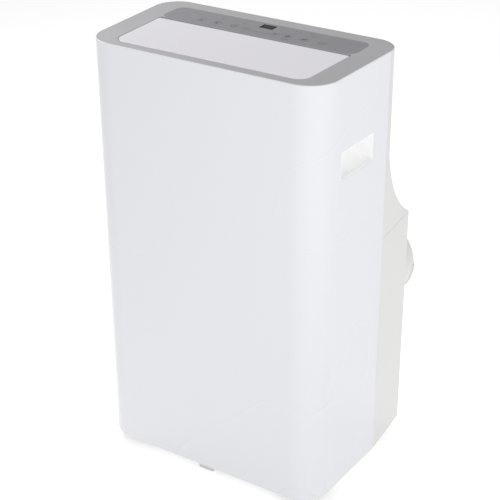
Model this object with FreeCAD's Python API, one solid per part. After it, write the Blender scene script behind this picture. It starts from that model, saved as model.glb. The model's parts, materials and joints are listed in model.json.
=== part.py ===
import FreeCAD, Part
import math
import os

# A portable air conditioner on castors: a glossy front shell that wraps the sides, two rear covers that
# meet in a cove, a flush top frame with a motor-driven outlet flap and a row of press keys, and the
# refrigeration and fan parts inside. Units are millimetres. X runs across the front, +Y points to the
# back and +Z up. The origin is on the floor, under the middle of the bounding box.

V = FreeCAD.Vector
ALONG_X = V(1, 0, 0)
ALONG_Z = V(0, 0, 1)

# Overall size
WIDTH = 447.0               # at the seam, the widest place
DEPTH = 365.0
HEIGHT = 766.8
CLEARANCE = 20.0            # floor to the bottom edge of the shells
HALF_WIDTH = WIDTH / 2
FRONT_Y = -DEPTH / 2
BACK_Y = DEPTH / 2          # end of the exhaust lip
TOP_DEPTH = 247.2           # depth of the top, above the cove
TOP_BACK = FRONT_Y + TOP_DEPTH
REAR_Y = FRONT_Y + 321.5    # flat rear face of the lower cover
REAR_HALF = 213.5           # half width at the lower rear face
SIDE_DRAFT = 0.036          # the sides draw in towards the front
WALL = 3.0
FIT_GAP = 0.3               # between neighbouring mouldings
RIM = 1.5                   # edge of the shells left showing round the top frame
FRONT_RADIUS = 50.0
BACK_RADIUS = 43.0
EDGE_RADIUS = 1.2
SEAM_Y = TOP_BACK - BACK_RADIUS - 1.0
SEAM_GAP = 0.4              # groove between the front shell and the rear covers

# Cove between the upper and lower rear covers
COVE_TOP = 583.0
COVE_BOTTOM = 443.5
COVE_DEPTH = REAR_Y - TOP_BACK
COVE_RADIUS = ((COVE_TOP - COVE_BOTTOM) ** 2 + COVE_DEPTH ** 2) / (2 * COVE_DEPTH)
COVE_SECTIONS = 9
CORNER_GROWTH = 0.9         # how the rear corner radius opens up the cove
LOWER_CORNER = 4.0
COVER_JOINT = 0.6           # groove between the two rear covers

# Top frame, flap and control panel
FRAME_TOP = HEIGHT - 0.4
FRAME_PLATE = 4.0
FRAME_UNDER = FRAME_TOP - FRAME_PLATE
SKIRT_BOTTOM = FRAME_TOP - 27.0
FLAP_HALF = 179.0           # at its rear edge
FLAP_FRONT = FRONT_Y + 22.0
FLAP_REAR = FRONT_Y + 155.8
FLAP_GAP = 1.0
FLAP_THICK = 3.2
FLAP_RADIUS = 21.0
HINGE_RADIUS = 6.0
HINGE_PIN = 2.5
PIN_GAP = 0.3
HINGE_Y = FLAP_REAR - HINGE_RADIUS
HINGE_Z = FRAME_TOP - HINGE_RADIUS
MOTOR_X = FLAP_HALF + 5.5     # near end of the flap motor's hub
MOTOR_EAR = HINGE_Z - 6.0
PANEL_HALF = 182.0
PANEL_FRONT = FLAP_REAR + 2.4
PANEL_REAR = PANEL_FRONT + 61.4
PANEL_RADIUS = 16.0
PANEL_THICK = 2.0
KEY_RADIUS = 7.0
KEY_GAP = 0.4
KEY_Y = PANEL_FRONT + 21.3
KEYS = {"swing": -113.0, "sleep": -81.0, "timer": -50.0, "minus": -28.0,
        "plus": 28.0, "fan": 51.0, "mode": 81.5, "power": 114.5}
KEY_TRAVEL = 0.6
BOARD_TOP = FRAME_TOP - 12.0
BOARD_THICK = 1.6
SWITCH_HEIGHT = 0.6
DISPLAY_X = 0.5
DISPLAY_Y = PANEL_FRONT + 45.3
DISPLAY_SIZE = (25.6, 18.0)

# Side hand grips
GRIP_FRONT = FRONT_Y + 61.3
GRIP_LENGTH = 99.0
GRIP_BOTTOM = 600.0
GRIP_HEIGHT = 47.7
GRIP_DEPTH = 36.0
GRIP_RADIUS = 3.0
GRIP_FLANGE = 6.0

# Castors
CASTER_FRONT = (170.0, FRONT_Y + 58.0)
CASTER_REAR = (158.0, REAR_Y - 52.0)
CASTERS = {"front_left": (-CASTER_FRONT[0], CASTER_FRONT[1]), "front_right": CASTER_FRONT,
           "rear_left": (-CASTER_REAR[0], CASTER_REAR[1]), "rear_right": CASTER_REAR}
WHEEL_RADIUS = 19.0
WHEEL_WIDTH = 11.0
WHEEL_INNER = 4.5
TRAIL = 12.0
WELL_RADIUS = 41.0
WELL_TOP = 50.0

# Base pan
PAN_FLOOR = 26.0
PAN_BOTTOM = 22.0
PAN_RIM = 60.0
LUG_X = -6.5
LUG_HALF = 17.0
LUG_BOTTOM = 5.0
LUG_Y = FRONT_Y + 10.0
POSTS = [(-211.0, -60.0), (-211.0, 12.0), (200.0, -4.0), (200.0, -136.0)]

# Exhaust outlet, grille and drains on the lower rear cover
EXHAUST_X = 130.0
EXHAUST_Z = 319.5
DUCT_HOLE = 71.5            # opening in the cover, a seat for the hose adaptor
COLLAR_INNER = 75.5
COLLAR_OUTER = 78.0
COLLAR_END = BACK_Y - 1.5
LIP_OUTER = 79.5            # lip round the lower half of the collar
LIP_LENGTH = 6.0
GRILLE_COLUMNS = [(-186.0, -135.0), (-129.0, -78.0), (-72.0, -21.0), (-15.0, 36.0)]
GRILLE_BOTTOM = 92.0
GRILLE_PITCH = 10.0
GRILLE_ROWS = 32
GRILLE_SLOT = 5.5
DRAINS = {"upper_drain_plug": (-60.0, 430.0), "lower_drain_plug": (0.0, 44.0)}
DRAIN_BORE = 6.0
DRAIN_WALL = 2.5
GLAND_X = -165.0
GLAND_Z = 69.2
GLAND_BORE = 4.0

# Screws through the rear covers, as (x, z)
FRAME_SCREWS = [(x, HEIGHT - 12.0) for x in (-160.0, 0.0, 160.0)]
TRAY_SCREWS = [(x, 436.0) for x in (-190.0, 75.0, 190.0)]
PAN_SCREWS = [(x, 36.0) for x in (-190.0, 60.0, 190.0)]
SCREW_HEAD = 4.0
SCREW_SHANK = 1.9
SCREW_SINK = 2.0
SCREW_LENGTH = 13.0
BOSS_RADIUS = 5.0
BOSS_LENGTH = 15.0

# Filter cassette on the upper rear cover
FILTER_HALF = 164.5
FILTER_BOTTOM = HEIGHT - 148.0
FILTER_TOP = HEIGHT - 22.0
FILTER_DEPTH = 8.0
FILTER_BORDER = 9.0

# Air path inside
TRAY_BOTTOM = 430.0
TRAY_FLOOR = 434.0
TRAY_RIM = 443.0
TRAY_INSET = 13.5
VANE_COUNT = 6
VANE_PITCH = 60.0
VANE_PIVOT_Z = FRAME_TOP - 45.0
VANE_CRANK = 16.0
VANE_FRONT = FLAP_FRONT + 4.0
VANE_BACK = FLAP_REAR - 5.0
LINK_Y = (VANE_FRONT + VANE_BACK) / 2
DUCT_NECK = FRAME_TOP - 69.0
UPPER_FAN = (-20.0, 560.0)
LOWER_FAN = (-82.0, 250.0)
FAN_RADIUS = 80.0
UPPER_FAN_Y = (-122.0, -38.0)
LOWER_FAN_Y = (18.0, 96.0)
CUTOFF = 12.0               # gap between an impeller and its scroll's tongue
GROWTH = 22.0               # how much a scroll widens over its turn
CHANNEL = 12.0              # near side of the outlet channel, from the fan's axis
SCROLL_TOP = FAN_RADIUS + 28.0
MOTOR_RADIUS = 38.0
SHAFT_RADIUS = 4.0
CHAMBER_FRONT = LOWER_FAN_Y[0]
CHAMBER_STEP = 103.0        # the exhaust chamber narrows behind this, beside the condenser

# Compressor, coils and pipes
COMPRESSOR_AT = (104.0, -84.0)
COMPRESSOR_RADIUS = 58.0
COMPRESSOR_BASE = 58.0
COMPRESSOR_TALL = 226.0
BOTTLE_X = COMPRESSOR_AT[0] - 88.0
BOTTLE_TOP = COMPRESSOR_BASE + 190.0
FOOT_ANGLES = (30, 150, 270)
FOOT_REACH = 70.0
FOOT_THICK = 4.0
TUBE_RADIUS = 3.5
COIL_DEPTH = 26.0
COIL_END = 6.0              # straight tube past the fins
FIN_PITCH = 5.0
FIN_THICK = 1.0
FIN_WEB = 2.0
EVAPORATOR = (-150.0, 150.0, 35.0, TRAY_RIM + 4.0, 714.0, 9)      # x0, x1, y, z0, z1, rows
CONDENSER = (-184.0, 30.0, 121.0, 78.0, 402.0, 11)
SUCTION_AT = (185.0, 10.0)
SUCTION_RADIUS = 4.5
EXPANSION_AT = (-198.0, EVAPORATOR[2])
EXPANSION_RADIUS = 2.0
TRAY_HOLES = [SUCTION_AT + (9.0,), EXPANSION_AT + (6.0,)]
SLINGER_AT = (-60.0, 76.0)


def block(x0, x1, y0, y1, z0, z1):
    return Part.makeBox(x1 - x0, y1 - y0, z1 - z0, V(x0, y0, z0))


def rod(radius, start, end):
    axis = V(*end) - V(*start)
    return Part.makeCylinder(radius, axis.Length, V(*start), axis)


def tube(outer, inner, start, end):
    return rod(outer, start, end).cut(rod(inner, start, end))


def joined(shapes):
    """One solid from touching or overlapping solids."""
    return shapes[0].multiFuse(shapes[1:]).removeSplitter()


def without(shape, tools):
    return shape.cut(tools[0].multiFuse(tools[1:])) if len(tools) > 1 else shape.cut(tools[0])


def rounded_wire(corners, z=0.0):
    """Closed outline at height z. Each corner is (x, y, radius)."""
    count = len(corners)
    bends = []
    for i, (x, y, radius) in enumerate(corners):
        here = V(x, y, z)
        last = V(corners[i - 1][0], corners[i - 1][1], z)
        following = V(corners[(i + 1) % count][0], corners[(i + 1) % count][1], z)
        back = (last - here).normalize()
        ahead = (following - here).normalize()
        half = back.getAngle(ahead) / 2
        reach = radius / math.tan(half)
        inward = (back + ahead).normalize() * (radius / math.sin(half) - radius)
        bends.append((here + back * reach, here + inward, here + ahead * reach))
    edges = []
    for i, (start, middle, end) in enumerate(bends):
        if corners[i][2] > 0:
            edges.append(Part.Arc(start, middle, end).toShape())
        edges.append(Part.LineSegment(end, bends[(i + 1) % count][0]).toShape())
    return Part.Wire(edges)


def prism(corners, z0, z1):
    return Part.Face(rounded_wire(corners, z0)).extrude(V(0, 0, z1 - z0))


def rectangle(x0, x1, y0, y1, radius=0.0, far_radius=None):
    """Corners of a rectangle; far_radius rounds the two corners at y1."""
    far = radius if far_radius is None else far_radius
    return [(x0, y0, radius), (x1, y0, radius), (x1, y1, far), (x0, y1, far)]


def upright(face, y0, y1):
    """A face drawn in XY becomes a plate in XZ, from y0 to y1."""
    turned = face.copy()
    turned.rotate(V(0, 0, 0), ALONG_X, 90)
    turned.translate(V(0, y0, 0))
    return turned.extrude(V(0, y1 - y0, 0))


def smooth(shape, radius, wanted):
    """Rounds the edges that the test picks."""
    edges = [e for e in shape.Edges if wanted(e)]
    return shape.makeFillet(radius, edges)


def level(edge, z):
    box = edge.BoundBox
    return abs(box.ZMin - z) < 1e-4 and abs(box.ZMax - z) < 1e-4


# Plan outlines

def shell_half(y, inset=0.0):
    """Half width of the front shell, whose sides draw in towards the front."""
    return HALF_WIDTH - inset - SIDE_DRAFT * (SEAM_Y - y)


def shell_plan(inset, back=0.0):
    y0 = FRONT_Y + inset
    y1 = SEAM_Y + back
    near = shell_half(y0, inset)
    far = shell_half(y1, inset)
    radius = FRONT_RADIUS - inset
    return [(far, y1, 0), (-far, y1, 0), (-near, y0, radius), (near, y0, radius)]


def cover_half(y, rear_y, rear_half, inset=0.0):
    """Half width of a rear cover whose side runs from the seam to rear_half at rear_y."""
    return HALF_WIDTH - inset - (HALF_WIDTH - rear_half) * (y - SEAM_Y) / (rear_y - SEAM_Y)


def rear_plan(rear_y, rear_half, radius, inset=0.0, ahead=0.0):
    """Outline of a rear cover from the seam to rear_y; ahead carries it past the seam."""
    y0 = SEAM_Y + SEAM_GAP - ahead
    y1 = rear_y - inset
    corner = max(radius - inset, 0.5)
    near = cover_half(y0, rear_y, rear_half, inset)
    far = cover_half(y1, rear_y, rear_half, inset)
    return [(near, y0, 0), (far, y1, corner), (-far, y1, corner), (-near, y0, 0)]


def whole_plan(rear_y, rear_half, radius, inset):
    """Outline of everything inside the shells, front and rear together."""
    y0 = FRONT_Y + inset
    y1 = rear_y - inset
    front = shell_half(y0, inset)
    seam = shell_half(SEAM_Y, inset)
    far = cover_half(y1, rear_y, rear_half, inset)
    bend = FRONT_RADIUS - inset
    corner = max(radius - inset, 0.5)
    return [(-front, y0, bend), (front, y0, bend), (seam, SEAM_Y, 0), (far, y1, corner),
            (-far, y1, corner), (-seam, SEAM_Y, 0)]


def top_plan(inset):
    return whole_plan(TOP_BACK, HALF_WIDTH, BACK_RADIUS, inset)


def floor_plan(inset):
    return whole_plan(REAR_Y, REAR_HALF, LOWER_CORNER, inset)


def flap_plan(gap, back, radius, back_radius):
    """Outline of the flap grown by gap, as far back as given; its ends follow the sides."""
    front = FLAP_FRONT - gap
    near = FLAP_HALF + gap - SIDE_DRAFT * (FLAP_REAR - front)
    far = FLAP_HALF + gap - SIDE_DRAFT * (FLAP_REAR - back)
    return [(-near, front, radius), (near, front, radius),
            (far, back, back_radius), (-far, back, back_radius)]


# Outer casing

def front_shell():
    body = prism(shell_plan(0), CLEARANCE, HEIGHT)
    body = smooth(body, EDGE_RADIUS,
                  lambda e: (level(e, HEIGHT) or level(e, CLEARANCE)) and e.BoundBox.YMin < SEAM_Y - 1)
    body = body.cut(prism(shell_plan(WALL, back=1), CLEARANCE - 1, HEIGHT + 1))
    body = body.cut(prism(shell_plan(RIM, back=1), FRAME_UNDER - FIT_GAP, HEIGHT + 1))
    returns = []
    for side in (-1, 1):
        inner = side * (HALF_WIDTH - WALL)
        x0, x1 = sorted((inner, inner - side * 9))
        returns.append(block(x0, x1, SEAM_Y - 3, SEAM_Y, CLEARANCE + 45, FRAME_UNDER - 30))
    body = joined([body] + returns)
    grip = grip_outline(0)
    return body.cut(grip_prism(grip, -HALF_WIDTH - 1, HALF_WIDTH + 1))


def grip_outline(inset):
    y0 = GRIP_FRONT + inset
    y1 = GRIP_FRONT + GRIP_LENGTH - inset
    z0 = GRIP_BOTTOM + inset
    z1 = GRIP_BOTTOM + GRIP_HEIGHT - inset
    radius = max(GRIP_RADIUS - inset, 1.0)
    return [(y0, z0, radius), (y1, z0, radius), (y1, z1, radius), (y0, z1, radius)]


def grip_prism(corners, x0, x1):
    """A YZ outline extruded along X."""
    face = Part.Face(rounded_wire([(z, y, r) for y, z, r in corners]))
    face.rotate(V(0, 0, 0), V(0, 1, 0), -90)
    face.translate(V(x0, 0, 0))
    return face.extrude(V(x1 - x0, 0, 0))


def handle_cup(side):
    """A moulded finger cup: deep at the top, with a floor that slopes out to the lower edge."""
    wall = 2.0
    low_z = GRIP_BOTTOM - 2 * GRIP_FLANGE
    high_z = GRIP_BOTTOM + GRIP_HEIGHT + 2 * GRIP_FLANGE

    def within(inset):
        return prism(shell_plan(inset), low_z, high_z)

    outer = grip_prism(grip_outline(FIT_GAP), HALF_WIDTH - GRIP_DEPTH, HALF_WIDTH).common(within(0.4))
    y0 = GRIP_FRONT + wall
    y1 = GRIP_FRONT + GRIP_LENGTH - wall
    top = GRIP_BOTTOM + GRIP_HEIGHT - wall
    low = GRIP_BOTTOM + wall
    back = HALF_WIDTH - GRIP_DEPTH + wall
    # Hollow: straight back wall, then a curved floor out to the lower lip
    start = V(HALF_WIDTH + 1, y0, top)
    deep = V(back, y0, top)
    turn = V(back, y0, GRIP_BOTTOM + 0.55 * GRIP_HEIGHT)
    belly = V(back + 0.25 * GRIP_DEPTH, y0, GRIP_BOTTOM + 0.20 * GRIP_HEIGHT)
    lip = V(shell_half(GRIP_FRONT) - 1, y0, low)
    edge = V(HALF_WIDTH + 1, y0, low)
    edges = [Part.LineSegment(start, deep), Part.LineSegment(deep, turn), Part.Arc(turn, belly, lip),
             Part.LineSegment(lip, edge), Part.LineSegment(edge, start)]
    hollow = Part.Face(Part.Wire([e.toShape() for e in edges])).extrude(V(0, y1 - y0, 0))
    cup = outer.cut(hollow)
    # A flange behind the shell wall locates the cup
    flange = grip_prism(grip_outline(-GRIP_FLANGE), HALF_WIDTH - 20, HALF_WIDTH)
    flange = flange.common(within(WALL)).cut(within(WALL + 2))
    flange = flange.cut(grip_prism(grip_outline(FIT_GAP), HALF_WIDTH - 30, HALF_WIDTH))
    cup = joined([cup, flange])
    return cup if side > 0 else cup.mirror(V(0, 0, 0), ALONG_X)


def cove_y(z):
    return TOP_BACK + COVE_RADIUS - math.sqrt(COVE_RADIUS ** 2 - (COVE_TOP - z) ** 2)


def cove_loft(inset, ahead):
    wires = []
    for i in range(COVE_SECTIONS):
        share = i / (COVE_SECTIONS - 1)
        z = COVE_BOTTOM + share * (COVE_TOP - COVE_BOTTOM)
        radius = LOWER_CORNER + share ** CORNER_GROWTH * (BACK_RADIUS - LOWER_CORNER)
        half = REAR_HALF + share * (HALF_WIDTH - REAR_HALF)
        wires.append(rounded_wire(rear_plan(cove_y(z), half, radius, inset, ahead), z))
    return Part.makeLoft(wires, True, False)


def upper_rear_cover():
    plan = (TOP_BACK, HALF_WIDTH, BACK_RADIUS)
    straight = prism(rear_plan(*plan), COVE_TOP, HEIGHT)
    straight = smooth(straight, EDGE_RADIUS, lambda e: level(e, HEIGHT) and e.BoundBox.YMax > SEAM_Y + 1)
    body = joined([straight, cove_loft(0, 0)])
    hollow = joined([prism(rear_plan(*plan, WALL, 1), COVE_TOP, HEIGHT + 1), cove_loft(WALL, 1)])
    body = body.cut(hollow)
    body = body.cut(prism(rear_plan(*plan, RIM, 1), FRAME_UNDER - FIT_GAP, HEIGHT + 1))
    # Rectangular sleeve that holds the filter cassette, and its opening
    gap = 0.5
    sleeve = block(-FILTER_HALF - 3.5, FILTER_HALF + 3.5, TOP_BACK - FILTER_DEPTH - 5, TOP_BACK - WALL,
                   FILTER_BOTTOM - 3.5, FILTER_TOP + 3.5)
    window = block(-FILTER_HALF - gap, FILTER_HALF + gap, TOP_BACK - FILTER_DEPTH - 6, TOP_BACK + 1,
                   FILTER_BOTTOM - gap, FILTER_TOP + gap)
    body = joined([body, sleeve]).cut(window)
    stops = []
    stop_front = TOP_BACK - FILTER_DEPTH - 5
    for x in (-FILTER_HALF - gap, FILTER_HALF + gap - 6):
        for z in (FILTER_BOTTOM - gap, FILTER_TOP + gap - 6):
            stops.append(block(x, x + 6, stop_front, stop_front + 3.8, z, z + 6))
    body = joined([body] + stops)
    return without(body, [screw_hole(x, TOP_BACK, z) for x, z in FRAME_SCREWS])


def screw_boss(x, face_y, z):
    """Boss on an inner part, behind a cover whose outer face is at face_y."""
    boss = rod(BOSS_RADIUS, (x, face_y - BOSS_LENGTH, z), (x, face_y - WALL - FIT_GAP, z))
    pilot = rod(SCREW_SHANK, (x, face_y - SCREW_LENGTH, z), (x, face_y, z))
    return boss, pilot


def screw_hole(x, face_y, z):
    sink = rod(SCREW_HEAD + FIT_GAP, (x, face_y - SCREW_SINK, z), (x, face_y + 1, z))
    return sink.fuse(rod(SCREW_SHANK, (x, face_y - WALL - 1, z), (x, face_y, z)))


def cover_screws():
    screws = []
    for face_y, places in ((TOP_BACK, FRAME_SCREWS), (REAR_Y, TRAY_SCREWS + PAN_SCREWS)):
        for x, z in places:
            neck = face_y - SCREW_SINK
            head = rod(SCREW_HEAD, (x, neck, z), (x, neck + 1.6, z))
            shank = rod(SCREW_SHANK, (x, face_y - SCREW_LENGTH, z), (x, neck, z))
            cross = [block(x - 2.2, x + 2.2, neck + 0.7, neck + 2, z - 0.5, z + 0.5),
                     block(x - 0.5, x + 0.5, neck + 0.7, neck + 2, z - 2.2, z + 2.2)]
            screws.append(without(joined([head, shank]), cross))
    return Part.makeCompound(screws)


def lower_rear_cover():
    top = COVE_BOTTOM - COVER_JOINT
    plan = (REAR_Y, REAR_HALF, LOWER_CORNER)
    body = prism(rear_plan(*plan), CLEARANCE, top)
    hollow = prism(rear_plan(*plan, WALL, 1), CLEARANCE - 1, top + 1)
    body = smooth(body, 1.0, lambda e: level(e, CLEARANCE) and e.BoundBox.YMax > SEAM_Y + 1).cut(hollow)
    slots = []
    for row in range(GRILLE_ROWS):
        z = GRILLE_BOTTOM + row * GRILLE_PITCH
        for x0, x1 in GRILLE_COLUMNS:
            slots.append(block(x0, x1, REAR_Y - 5, REAR_Y + 1, z, z + GRILLE_SLOT))
    cuts = slots + [screw_hole(x, REAR_Y, z) for x, z in TRAY_SCREWS + PAN_SCREWS]
    cuts.append(rod(DUCT_HOLE, (EXHAUST_X, REAR_Y - 5, EXHAUST_Z), (EXHAUST_X, REAR_Y + 1, EXHAUST_Z)))
    cuts.append(rod(GLAND_BORE + 3, (GLAND_X, REAR_Y - 5, GLAND_Z), (GLAND_X, REAR_Y + 1, GLAND_Z)))
    for x, z in DRAINS.values():
        cuts.append(rod(DRAIN_BORE + DRAIN_WALL, (x, REAR_Y - 5, z), (x, REAR_Y + 1, z)))
    return body.cut(Part.makeCompound(cuts))


def exhaust_outlet():
    """Collar that takes the hose adaptor, with a lip round its lower half."""
    def ring(outer, y0, y1):
        return tube(outer, COLLAR_INNER, (EXHAUST_X, y0, EXHAUST_Z), (EXHAUST_X, y1, EXHAUST_Z))

    lower_half = block(EXHAUST_X - 90, EXHAUST_X + 90, REAR_Y, BACK_Y + 1, EXHAUST_Z - 90, EXHAUST_Z)
    lip = ring(LIP_OUTER, BACK_Y - LIP_LENGTH, BACK_Y).common(lower_half)
    body = joined([ring(COLLAR_OUTER, REAR_Y, COLLAR_END), lip])
    return smooth(body, 0.6, lambda e: e.Length > 200 and e.BoundBox.YMin > COLLAR_END - 1)


def cable_gland():
    def at(y):
        return (GLAND_X, y, GLAND_Z)

    nut = rod(8.5, at(REAR_Y - 9), at(REAR_Y - WALL))
    neck = rod(GLAND_BORE + 3, at(REAR_Y - WALL), at(REAR_Y))
    collar = rod(11, at(REAR_Y), at(REAR_Y + 3))
    cone = Part.makeCone(9, 6.5, 11, V(*at(REAR_Y + 3)), V(0, 1, 0))
    return joined([nut, neck, collar, cone]).cut(rod(GLAND_BORE, at(REAR_Y - 10), at(REAR_Y + 20)))


def drain_plug(name):
    x, z = DRAINS[name]
    plug = rod(DRAIN_BORE - 0.2, (x, REAR_Y - 12, z), (x, REAR_Y + 0.5, z))
    cap = rod(10.5, (x, REAR_Y + 0.5, z), (x, REAR_Y + 5, z))
    cap = smooth(cap, 1.2, lambda e: e.BoundBox.YMin > REAR_Y + 4)
    pull = block(x - 1.5, x + 1.5, REAR_Y + 4, REAR_Y + 11, z - 6, z + 6)
    return joined([plug, cap, pull])


# Top frame, control panel and flap

def top_frame():
    inset = WALL + FIT_GAP
    body = prism(top_plan(RIM + FIT_GAP), FRAME_UNDER, FRAME_TOP)
    rim = prism(top_plan(inset), FRAME_TOP - 12, FRAME_UNDER)
    rim = rim.cut(prism(top_plan(inset + 2.5), FRAME_TOP - 13, FRAME_UNDER))
    well = flap_opening(FLAP_GAP + 3, SKIRT_BOTTOM, FRAME_UNDER)
    body = smooth(body, 0.6, lambda e: level(e, FRAME_TOP))
    body = joined([body, rim, well])
    body = body.cut(flap_opening(FLAP_GAP, SKIRT_BOTTOM - 1, FRAME_TOP + 1))
    bosses = []
    for x in (-150.0, -72.0, 72.0, 150.0):
        bosses.append(rod(4.0, (x, PANEL_REAR - 8, BOARD_TOP), (x, PANEL_REAR - 8, FRAME_UNDER)))
    for y in (HINGE_Y - 15, HINGE_Y + 15):
        bosses.append(rod(3.0, (MOTOR_X + 10, y, MOTOR_EAR), (MOTOR_X + 10, y, FRAME_UNDER)))
    pilots = []
    for x, z in FRAME_SCREWS:
        boss, pilot = screw_boss(x, TOP_BACK, z)
        bosses.append(boss)
        bosses.append(block(x - BOSS_RADIUS, x + BOSS_RADIUS, TOP_BACK - BOSS_LENGTH,
                            TOP_BACK - WALL - FIT_GAP, z, FRAME_UNDER))
        pilots.append(pilot)
    body = joined([body] + bosses)
    recess = prism(rectangle(-PANEL_HALF, PANEL_HALF, PANEL_FRONT, PANEL_REAR, PANEL_RADIUS),
                   FRAME_TOP - PANEL_THICK, FRAME_TOP + 1)
    cuts = pilots + [recess, display_block(1.0, FRAME_UNDER - 1, FRAME_TOP)]
    for x in KEYS.values():
        cuts.append(rod(KEY_RADIUS + KEY_GAP, (x, KEY_Y, FRAME_UNDER - 1), (x, KEY_Y, FRAME_TOP)))
    pin_end = FLAP_HALF + 8
    cuts.append(rod(HINGE_PIN + PIN_GAP, (-pin_end, HINGE_Y, HINGE_Z), (pin_end, HINGE_Y, HINGE_Z)))
    cuts.append(rod(4.0, (MOTOR_X - 0.5, HINGE_Y, HINGE_Z), (MOTOR_X + 6.5, HINGE_Y, HINGE_Z)))
    return without(body, cuts)


def flap_opening(gap, z0, z1):
    return prism(flap_plan(gap, FLAP_REAR + gap, FLAP_RADIUS + gap, 4.0), z0, z1)


def outlet_flap():
    """A plate that rolls over into a hinge barrel, so that it turns in place, with its two pins."""
    under = FRAME_TOP - FLAP_THICK
    plate = prism(flap_plan(0.0, HINGE_Y, FLAP_RADIUS, 0.0), under, FRAME_TOP)
    plate = smooth(plate, 0.9, lambda e: level(e, FRAME_TOP) and e.BoundBox.YMin < HINGE_Y - 1)
    end = FLAP_HALF - 1.5
    meet = HINGE_Y - math.sqrt(HINGE_RADIUS ** 2 - (under - HINGE_Z) ** 2)
    front_top = V(-end, meet, FRAME_TOP)
    back_top = V(-end, HINGE_Y, FRAME_TOP)
    front_under = V(-end, meet, under)
    outline = [Part.LineSegment(front_top, back_top),
               Part.Arc(back_top, V(-end, HINGE_Y, HINGE_Z - HINGE_RADIUS), front_under),
               Part.LineSegment(front_under, front_top)]
    barrel = Part.Face(Part.Wire([edge.toShape() for edge in outline])).extrude(V(2 * end, 0, 0))
    pins = [rod(HINGE_PIN, (-FLAP_HALF - 4.5, HINGE_Y, HINGE_Z), (-FLAP_HALF + 5, HINGE_Y, HINGE_Z)),
            rod(HINGE_PIN, (FLAP_HALF - 5, HINGE_Y, HINGE_Z), (FLAP_HALF + 9, HINGE_Y, HINGE_Z))]
    ribs = []
    for y in (FLAP_FRONT + 12, (FLAP_FRONT + HINGE_Y) / 2):
        ribs.append(block(-FLAP_HALF + 20, FLAP_HALF - 20, y, y + 2, FRAME_TOP - 8, under + 0.5))
    for x in (-120.0, -40.0, 40.0, 120.0):
        ribs.append(block(x - 1, x + 1, FLAP_FRONT + 12, HINGE_Y, FRAME_TOP - 8, under + 0.5))
    return joined([plate, barrel] + pins + ribs)


def flap_motor():
    """Geared stepper beside the flap. Its output hub takes the end of the hinge pin."""
    low = HINGE_Z - 9
    near = MOTOR_X + 4.2
    can = rod(9.5, (near, HINGE_Y, low), (near + 16.8, HINGE_Y, low))
    hub = tube(3.7, HINGE_PIN + PIN_GAP, (MOTOR_X, HINGE_Y, HINGE_Z), (near, HINGE_Y, HINGE_Z))
    web = block(MOTOR_X, near, HINGE_Y - 3, HINGE_Y + 3, low - 4, HINGE_Z - 3.2)
    ears = block(MOTOR_X + 6, MOTOR_X + 14, HINGE_Y - 19, HINGE_Y + 19, MOTOR_EAR - 3, MOTOR_EAR)
    return joined([can, hub, web, ears])


def control_panel():
    body = prism(rectangle(-PANEL_HALF, PANEL_HALF, PANEL_FRONT, PANEL_REAR, PANEL_RADIUS),
                 FRAME_TOP - PANEL_THICK, FRAME_TOP + 0.2)
    body = smooth(body, 0.15, lambda e: level(e, FRAME_TOP + 0.2))
    cuts = [display_block(0.0, FRAME_TOP - 3, FRAME_TOP + 1)]
    for x in KEYS.values():
        cuts.append(rod(KEY_RADIUS + KEY_GAP, (x, KEY_Y, FRAME_TOP - 3), (x, KEY_Y, FRAME_TOP + 1)))
    return without(body, cuts)


def display_block(gap, z0, z1):
    half_x = DISPLAY_SIZE[0] / 2 + gap
    half_y = DISPLAY_SIZE[1] / 2 + gap
    return block(DISPLAY_X - half_x, DISPLAY_X + half_x, DISPLAY_Y - half_y, DISPLAY_Y + half_y, z0, z1)


def display_window():
    return display_block(0.0, FRAME_TOP - PANEL_THICK - 2, FRAME_TOP + 0.1)


def control_key(x):
    cap = rod(KEY_RADIUS, (x, KEY_Y, FRAME_TOP - 7), (x, KEY_Y, FRAME_TOP + 0.35))
    cap = smooth(cap, 0.3, lambda e: level(e, FRAME_TOP + 0.35))
    flange = rod(KEY_RADIUS + 2, (x, KEY_Y, FRAME_TOP - 7), (x, KEY_Y, FRAME_UNDER - 1))
    stem = rod(2.0, (x, KEY_Y, BOARD_TOP + SWITCH_HEIGHT + KEY_TRAVEL + 0.3), (x, KEY_Y, FRAME_TOP - 7))
    return joined([cap, flange, stem])


def control_board():
    under = BOARD_TOP - BOARD_THICK
    parts = [block(-156, 156, PANEL_FRONT + 6, PANEL_REAR - 2, under, BOARD_TOP),
             display_block(-1.0, BOARD_TOP, FRAME_TOP - PANEL_THICK - 2),
             block(-60, -42, PANEL_REAR - 30, PANEL_REAR - 16, under - 3.4, under),
             block(100, 124, PANEL_REAR - 20, PANEL_REAR - 12, under - 8.4, under)]
    for x in KEYS.values():
        parts.append(block(x - 3, x + 3, KEY_Y - 3, KEY_Y + 3, BOARD_TOP, BOARD_TOP + SWITCH_HEIGHT))
    return joined(parts)


# Air outlet

def outlet_duct():
    wall = 2.5
    mouth = scroll_mouth()
    neck_z = UPPER_FAN[1] + SCROLL_TOP

    def funnel(grow):
        low = rectangle(mouth[0] - grow, mouth[1] + grow, mouth[2] - grow, mouth[3] + grow, 3.0)
        gap = FLAP_GAP + grow
        high = flap_plan(gap, FLAP_REAR + gap, 3.0, 3.0)
        flare = Part.makeLoft([rounded_wire(low, neck_z), rounded_wire(high, DUCT_NECK)], True, True)
        return joined([flare, prism(high, DUCT_NECK, SKIRT_BOTTOM)])

    cuts = [funnel(0)]
    for i in range(VANE_COUNT):
        x = vane_x(i)
        cuts.append(rod(2.2, (x, FLAP_FRONT - 6, VANE_PIVOT_Z), (x, FLAP_REAR + 6, VANE_PIVOT_Z)))
    return without(funnel(wall), cuts)


def vane_x(i):
    return (i - (VANE_COUNT - 1) / 2) * VANE_PITCH


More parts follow.
